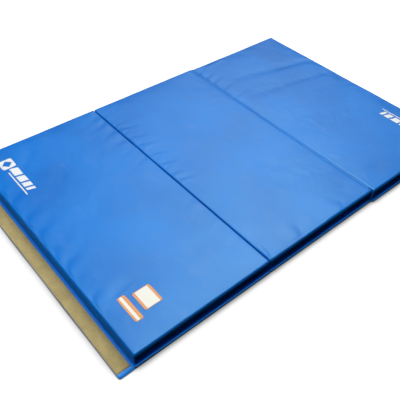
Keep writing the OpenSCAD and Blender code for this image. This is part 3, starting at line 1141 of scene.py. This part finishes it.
def foam(name, pale, deep, cell):
    """Cut foam: small open cells and a faint saw mark."""
    made = Surface(name, 0.95, Specular_IOR_Level=0.1)
    cells = made.cells(cell)
    stain = made.rescale(made.noise(0.2, detail=3), 0.4, 0.7, 0, 0.3)
    made.set(Base_Color=made.mix(stain, made.shades(cells, 0.0, 0.6, deep, pale), deep))
    made.bump(made.plus(cells, made.times(made.threads(9 * MM, "Y"), 0.5)), 0.4 * MM)
    return made.material


def woven(name, pale, deep, pitch, across):
    """Woven tape: threads along y and across it, paler on their crowns."""
    made = Surface(name, 0.85, Specular_IOR_Level=0.25, Sheen_Weight=0.2)
    weave = made.times(made.threads(pitch, "Y"), made.threads(pitch, across))
    tone = made.plus(made.times(weave, 0.6), made.times(made.noise(0.02, detail=5, rough=0.7), 0.6))
    made.set(Base_Color=made.shades(tone, 0.2, 0.8, deep, pale))
    made.bump(weave, 0.15 * MM)
    return made.material


def pile(name, pale, deep, pitch, depth):
    """The field of a hook or loop strip: small bristling dots in uneven rows."""
    made = Surface(name, 0.8, Specular_IOR_Level=0.3, Sheen_Weight=0.35)
    dots = made.cells(pitch, randomness=0.55)
    wear = made.noise(0.03, detail=5, rough=0.7, stretch=(1, 0.6, 1))
    tone = made.plus(made.rescale(dots, 0.0, 0.6, 0.55, 0), made.times(wear, 0.8))
    made.set(Base_Color=made.shades(tone, 0.3, 1.0, deep, pale))
    made.bump(made.rescale(dots, 0.0, 0.6, 1, 0), depth)
    return made.material


def metal(name, colour, roughness):
    """Zinc casting: polished by use, with fine scratches and duller hollows."""
    made = Surface(name, roughness, Metallic=1.0)
    scratches = made.noise(0.6 * MM, detail=4, rough=0.7, stretch=(0.15, 1, 1))
    made.set(Roughness=made.rescale(scratches, 0.3, 0.7, roughness - 0.1, roughness + 0.15))
    dull = tuple(0.72 * c for c in colour)
    made.set(Base_Color=made.shades(made.noise(3 * MM, detail=3), 0.35, 0.65, dull, colour))
    made.bump(scratches, 0.02 * MM)
    return made.material


def plastic(name, colour, roughness, speck=0.15):
    """Moulded or printed plastic: a fine speckle and slight tone changes."""
    made = Surface(name, roughness, Specular_IOR_Level=0.45)
    dark = tuple((1 - speck) * c for c in colour)
    tone = made.noise(5 * MM, detail=5, rough=0.7)
    made.set(Base_Color=made.shades(tone, 0.35, 0.65, dark, colour))
    made.bump(made.noise(0.8 * MM, detail=2), 0.03 * MM)
    return made.material


# ---- the stage: camera, light and floor

# the broad glow that the glossy vinyl mirrors: its heading from +X and its rise in degrees, how tight it is,
# how strong it is, and the light from the rest of the sky
GLOW_HEADING = 43
GLOW_RISE = 47
GLOW_FOCUS = 32
GLOW_STRENGTH = 5.8
SKY = 0.02
# where the floor's painted shadow takes its light to come from: the shadow is on the other sides
FLOOR_LIGHT_FROM = (0.72, -0.1, 0.69)
# the floor's brightness, and its wide and close painted shadows: how far each reaches, and how dark it is (a
# power)
FLOOR_WHITE = 1.4
WIDE_SHADOW = (110 * MM, 1.8)
CLOSE_SHADOW = (30 * MM, 2.6)
# the camera: its place, its heading from +Y, its dip below the horizon and its roll in degrees, and its lens
CAMERA_AT = (-1.3603, -1.3803, 1.6145)
CAMERA_HEADING = 41.78
CAMERA_DIP = 44.508
CAMERA_ROLL = 2.402
CAMERA_LENS = 48.587


def add_camera():
    heading, dip, roll = (math.radians(a) for a in (CAMERA_HEADING, CAMERA_DIP, CAMERA_ROLL))
    ahead = Vector((math.sin(heading) * math.cos(dip), math.cos(heading) * math.cos(dip), -math.sin(dip)))
    right = Vector((math.cos(heading), -math.sin(heading), 0))
    up = right.cross(ahead)
    rolled_right = math.cos(roll) * right + math.sin(roll) * up
    rolled_up = math.cos(roll) * up - math.sin(roll) * right
    data = bpy.data.cameras.new("camera")
    data.sensor_width = 36
    data.lens = CAMERA_LENS
    camera = bpy.data.objects.new("camera", data)
    rotation = Matrix((rolled_right, rolled_up, -ahead)).transposed().to_4x4()
    camera.matrix_world = Matrix.Translation(CAMERA_AT) @ rotation
    bpy.context.scene.collection.objects.link(camera)
    bpy.context.scene.camera = camera


def area_light(name, place_at, target, size, power, mirrored=True):
    """A soft light that the camera doesn't see, and that glossy surfaces mirror or not."""
    data = bpy.data.lights.new(name, "AREA")
    data.shape = "RECTANGLE"
    data.size, data.size_y = size
    data.energy = power
    light = bpy.data.objects.new(name, data)
    light.location = place_at
    light.rotation_euler = (Vector(target) - Vector(place_at)).to_track_quat("-Z", "Y").to_euler()
    light.visible_camera = False
    light.visible_glossy = mirrored
    bpy.context.scene.collection.objects.link(light)


def add_world():
    """White behind the object; the light from it is one broad glow, behind and to the right of the mat."""
    world = bpy.data.worlds.new("studio")
    bpy.context.scene.world = world
    sky = Nodes(world)
    sky.tree.nodes.clear()
    direction = sky.new("TexCoord").outputs["Generated"]
    turn, rise = math.radians(GLOW_HEADING), math.radians(GLOW_RISE)
    glow_at = (math.cos(turn) * math.cos(rise), math.sin(turn) * math.cos(rise), math.sin(rise))
    towards = sky.new("VectorMath")
    towards.operation = "DOT_PRODUCT"
    sky.feed(towards.inputs[0], direction)
    sky.feed(towards.inputs[1], glow_at)
    lobe = sky.math("POWER", sky.math("MAXIMUM", towards.outputs["Value"], 0.0), GLOW_FOCUS)
    height = sky.new("SeparateXYZ")
    sky.feed(height.inputs[0], direction)
    above = sky.rescale(height.outputs["Z"], -0.02, 0.1, 0, 1)
    strength = sky.plus(sky.times(sky.times(lobe, GLOW_STRENGTH), above), sky.times(above, SKY))
    lit = sky.new("Background", Strength=strength)
    seen = sky.new("Background", Color=(1, 1, 1, 1))
    mix = sky.new("MixShader")
    from_camera = sky.new("LightPath").outputs["Is Camera Ray"]
    for socket, value in zip(mix.inputs, (from_camera, lit.outputs[0], seen.outputs[0])):
        sky.feed(socket, value)
    sky.new("OutputWorld", Surface=mix.outputs[0])


def add_floor():
    """A plain white floor that glows evenly, with a painted shadow where the mat is close to it."""
    mesh = bpy.data.meshes.new("floor")
    half = 30.0
    corners = [(-half, -half, 0), (half, -half, 0), (half, half, 0), (-half, half, 0)]
    mesh.from_pydata(corners, [], [(0, 1, 2, 3)])
    material = bpy.data.materials.new("floor_white")
    mesh.materials.append(material)
    floor = bpy.data.objects.new("floor", mesh)
    bpy.context.scene.collection.objects.link(floor)
    floor.location.z = -0.1 * MM
    floor.visible_diffuse = False
    floor.visible_glossy = False
    nodes = Nodes(material)
    nodes.tree.nodes.clear()
    slant = nodes.new("CombineXYZ", **dict(zip("XYZ", FLOOR_LIGHT_FROM))).outputs[0]

    def shadow(reach, power, **inputs):
        node = nodes.new("AmbientOcclusion", Distance=reach, **inputs)
        node.samples = 24
        return nodes.math("POWER", node.outputs["AO"], power)

    shade = nodes.times(shadow(*WIDE_SHADOW, Normal=slant), shadow(*CLOSE_SHADOW))
    white = nodes.new("Emission", Strength=nodes.times(shade, FLOOR_WHITE))
    nodes.new("OutputMaterial", Surface=white.outputs[0])


# ---- assembly


def build_panel(panel, vinyls, foams, zips, thread):
    """One panel, with everything that rides on it. Returns the surface of its landing face."""
    surface = top_sheet(panel, vinyls["cover"], vinyls["walls"])
    boxing(panel, vinyls["walls"], vinyls["bead"])
    zip_wall(panel, vinyls["walls"])
    bottom_sheet(panel, vinyls["base"])
    foam_core("firm", panel, *FIRM_Z, FIRM_R, foams["firm"])
    foam_core("soft", panel, *SOFT_Z, SOFT_R, foams["soft"])
    zip_tape(panel, zips["tape"])
    zip_chain(panel, zips["teeth"])
    zip_slider(panel, zips["metal"])
    zip_pull(panel, zips["metal"])
    flange_stitches(panel, thread)
    return surface


def build_mat():
    blue, deep_blue = (0.005, 0.185, 0.68), (0.003, 0.15, 0.59)
    vinyls = {
        # a gloss that dips below about 0.28 leaves dark specks where the render is cleaned of noise
        "cover": vinyl("cover_vinyl", blue, deep_blue, 0.285, 0.365),
        "walls": vinyl("wall_vinyl", blue, deep_blue, 0.65, 0.8, specular=0.1),
        # the flange's bead: the cover's vinyl made lighter, painted light for the light that its outer edge
        # catches
        "bead": vinyl("bead_vinyl_painted_light", (0.01, 0.25, 0.9), (0.008, 0.21, 0.8), 0.35, 0.5),
        "base": vinyl("base_vinyl", (0.004, 0.03, 0.1), (0.003, 0.02, 0.07), 0.5, 0.65, specular=0.2),
        "hinge": vinyl("hinge_vinyl", (0.005, 0.16, 0.6), (0.004, 0.13, 0.5), 0.4, 0.5),
        # the flap: the cover's vinyl made lighter and whiter, painted light and painted sheen where it lies
        # lit beside the left wall
        "flap": vinyl("flap_vinyl", (0.02, 0.25, 0.88), (0.015, 0.21, 0.78), 0.38, 0.5),
    }
    foams = {
        "firm": foam("firm_foam", (0.78, 0.8, 0.78), (0.55, 0.57, 0.55), 2.2 * MM),
        "soft": foam("soft_foam", (0.86, 0.74, 0.42), (0.62, 0.5, 0.22), 3.2 * MM),
    }
    zips = {
        "tape": woven("zip_tape", (0.035, 0.04, 0.06), (0.012, 0.014, 0.022), 0.7 * MM, "Z"),
        "teeth": plastic("zip_teeth", (0.03, 0.032, 0.04), 0.35),
        "metal": metal("zip_metal", (0.62, 0.62, 0.6), 0.35),
    }
    hook = pile("hook_tape", (0.62, 0.5, 0.22), (0.34, 0.27, 0.11), 1.4 * MM, 0.5 * MM)
    loop = pile("loop_tape", (0.5, 0.43, 0.25), (0.3, 0.25, 0.13), 0.9 * MM, 0.3 * MM)
    selvedge = woven("selvedge", (0.52, 0.43, 0.21), (0.36, 0.28, 0.12), 0.8 * MM, "X")
    ink = plastic("white_print", (0.86, 0.88, 0.9), 0.45, speck=0.06)
    paper = plastic("label_white", (0.86, 0.86, 0.78), 0.5, speck=0.06)
    orange = plastic("label_orange", (0.82, 0.36, 0.12), 0.5, speck=0.2)
    blue_thread = plastic("blue_thread", (0.01, 0.12, 0.46), 0.6)
    tan_thread = plastic("tan_thread", (0.52, 0.43, 0.2), 0.7)

    surfaces = {panel: build_panel(panel, vinyls, foams, zips, blue_thread) for panel in PANELS}
    hinge_strip("top_hinge", ("top_hinge_middle", "top_hinge_right"), HIGH_SEAM, TOP_HINGE_Z, 1.7 * MM,
                vinyls["hinge"])
    hinge_strip("bottom_hinge", ("bottom_hinge_left", "bottom_hinge_middle"), LOW_SEAM, BOTTOM_HINGE_Z, 0.0,
                vinyls["hinge"])
    curl = end_flap(vinyls["flap"])
    thread_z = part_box("end_flap")[1].z + 0.95 * MM
    grip_strip("hook_tape", "hook_strip", "flap", curl, hook, selvedge)
    strip_stitches("hook_strip", "flap", thread_z, curl, tan_thread)
    grip_strip("loop_tape", "loop_strip", "right_panel", None, loop, selvedge)

    print_mark("print_far_left", "print_left", "left", surfaces["left"], ink, False)
    print_mark("print_right_end", "print_right", "right", surfaces["right"], ink, True)
    label_patch("label_square", "square_label", surfaces["left"], (paper, orange), ((0, 0.14), (0.86, 1)))
    label_patch("label_narrow", "narrow_label", surfaces["left"], (paper, orange), ((0.0, 0.24), (0.6, 1)))


bpy.context.scene.view_settings.view_transform = "Standard"
add_camera()
add_world()
area_light("overhead", (-0.15, 0.35, 3.0), (-0.15, 0.35, 0), (5.4, 1.9), 79)
area_light("near_edge", (0, -0.54, 3.0), (0, -0.54, 0), (3.4, 0.18), 28)
area_light("left_fill", (-3.0, 0.2, 1.4), (-0.95, 0, 0), (2.4, 1.0), 12, mirrored=False)
add_floor()
build_mat()
